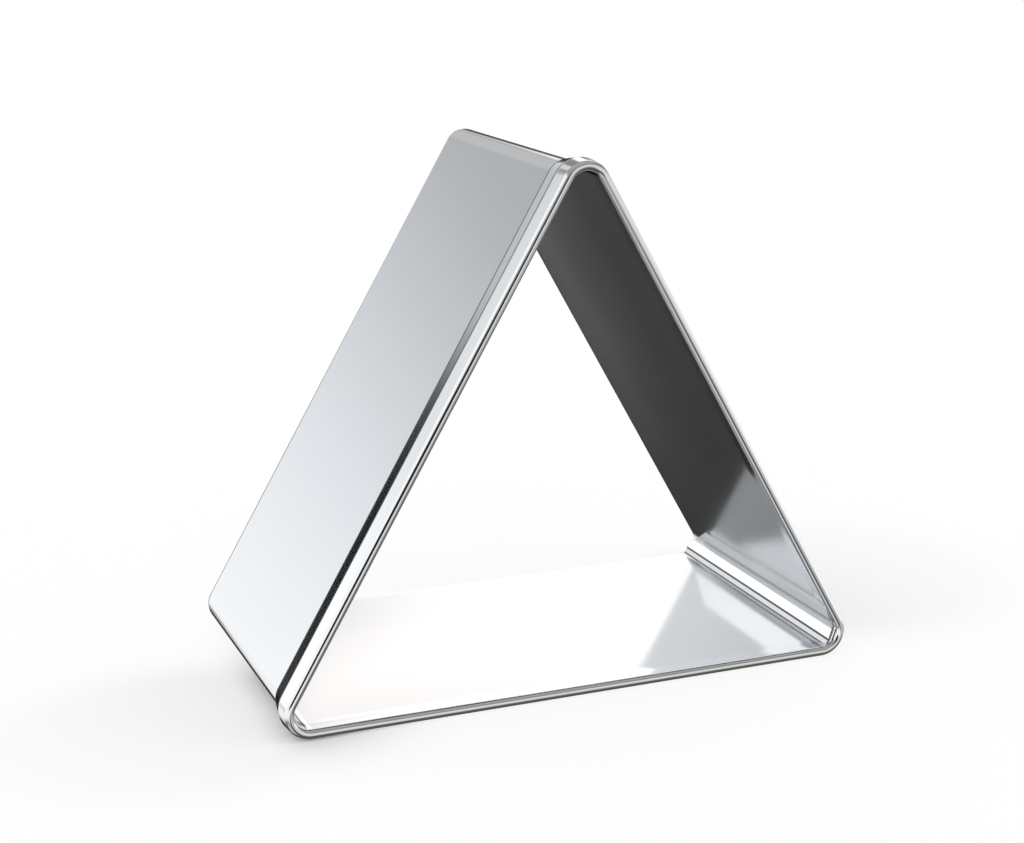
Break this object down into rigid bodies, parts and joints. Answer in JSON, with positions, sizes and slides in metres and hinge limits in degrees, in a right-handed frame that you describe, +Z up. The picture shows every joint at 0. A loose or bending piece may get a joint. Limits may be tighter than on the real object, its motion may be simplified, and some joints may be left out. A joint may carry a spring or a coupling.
{
  "type": "triangle cookie cutter",
  "caption": "Small triangle cookie cutter bent from one strip of polished stainless sheet, with an outward rolled rim, a plain cutting edge and a lapped corner seam.",
  "frame": {"origin": "centre of the bounding box at the height of the rim's underside, on the surface it stands on", "axes": "+Z up as it stands on one wall, +Y from the rolled rim to the cutting edge, +X to the right seen from the rim"},
  "size_m": [0.0466, 0.025, 0.041],
  "materials": {
    "stainless_wall": "bright annealed stainless sheet, polished to a soft mirror",
    "stainless_rim": "the same sheet folded over, polished to a mirror on the fold"
  },
  "bodies": {
    "root": {"base_wall": "stainless_wall", "right_wall": "stainless_wall", "left_wall": "stainless_wall", "left_bend": "stainless_wall", "right_bend": "stainless_wall", "top_bend": "stainless_wall", "seam_lap": "stainless_wall", "rim_base": "stainless_rim", "rim_right": "stainless_rim", "rim_left": "stainless_rim", "rim_left_bend": "stainless_rim", "rim_right_bend": "stainless_rim", "rim_top_bend": "stainless_rim"}
  },
  "joints": []
}
